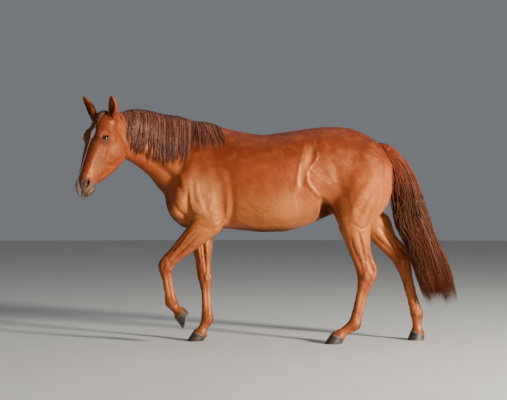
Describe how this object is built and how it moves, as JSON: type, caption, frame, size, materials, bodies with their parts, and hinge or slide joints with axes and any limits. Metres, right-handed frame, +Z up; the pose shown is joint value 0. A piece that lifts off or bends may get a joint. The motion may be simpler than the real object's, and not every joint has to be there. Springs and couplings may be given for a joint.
{
  "type": "horse",
  "caption": "Life-size chestnut horse walking slowly, head turned to its left, a foreleg lifted, with a white star and stripe.",
  "frame": {"origin": "on the floor, under the middle of the whole length and width", "axes": "+X towards the tail, +Y towards the horse's right side, +Z up"},
  "size_m": [2.6954, 0.8366, 1.7516],
  "materials": {
    "coat": "short glossy red chestnut hair over skin",
    "hair": "long dark red-brown hair of mane, forelock and tail",
    "horn": "dark ringed hoof horn",
    "eye": "wet dark brown"
  },
  "bodies": {
    "root": {"foreleg_left_hoof": "horn", "foreleg_left_forearm": "coat", "foreleg_left_cannon": "coat", "foreleg_left_pastern": "coat", "foreleg_right_hoof": "horn", "foreleg_right_forearm": "coat", "foreleg_right_cannon": "coat", "foreleg_right_pastern": "coat", "hindleg_left_hoof": "horn", "hindleg_left_gaskin": "coat", "hindleg_left_cannon": "coat", "hindleg_left_pastern": "coat", "hindleg_right_hoof": "horn", "hindleg_right_gaskin": "coat", "hindleg_right_cannon": "coat", "hindleg_right_pastern": "coat", "head": "coat", "neck": "coat", "forequarters": "coat", "barrel": "coat", "hindquarters": "coat", "ear_left": "coat", "ear_right": "coat", "eye_left": "eye", "eye_right": "eye", "mane": "hair", "forelock": "hair", "tail": "hair"}
  },
  "joints": []
}
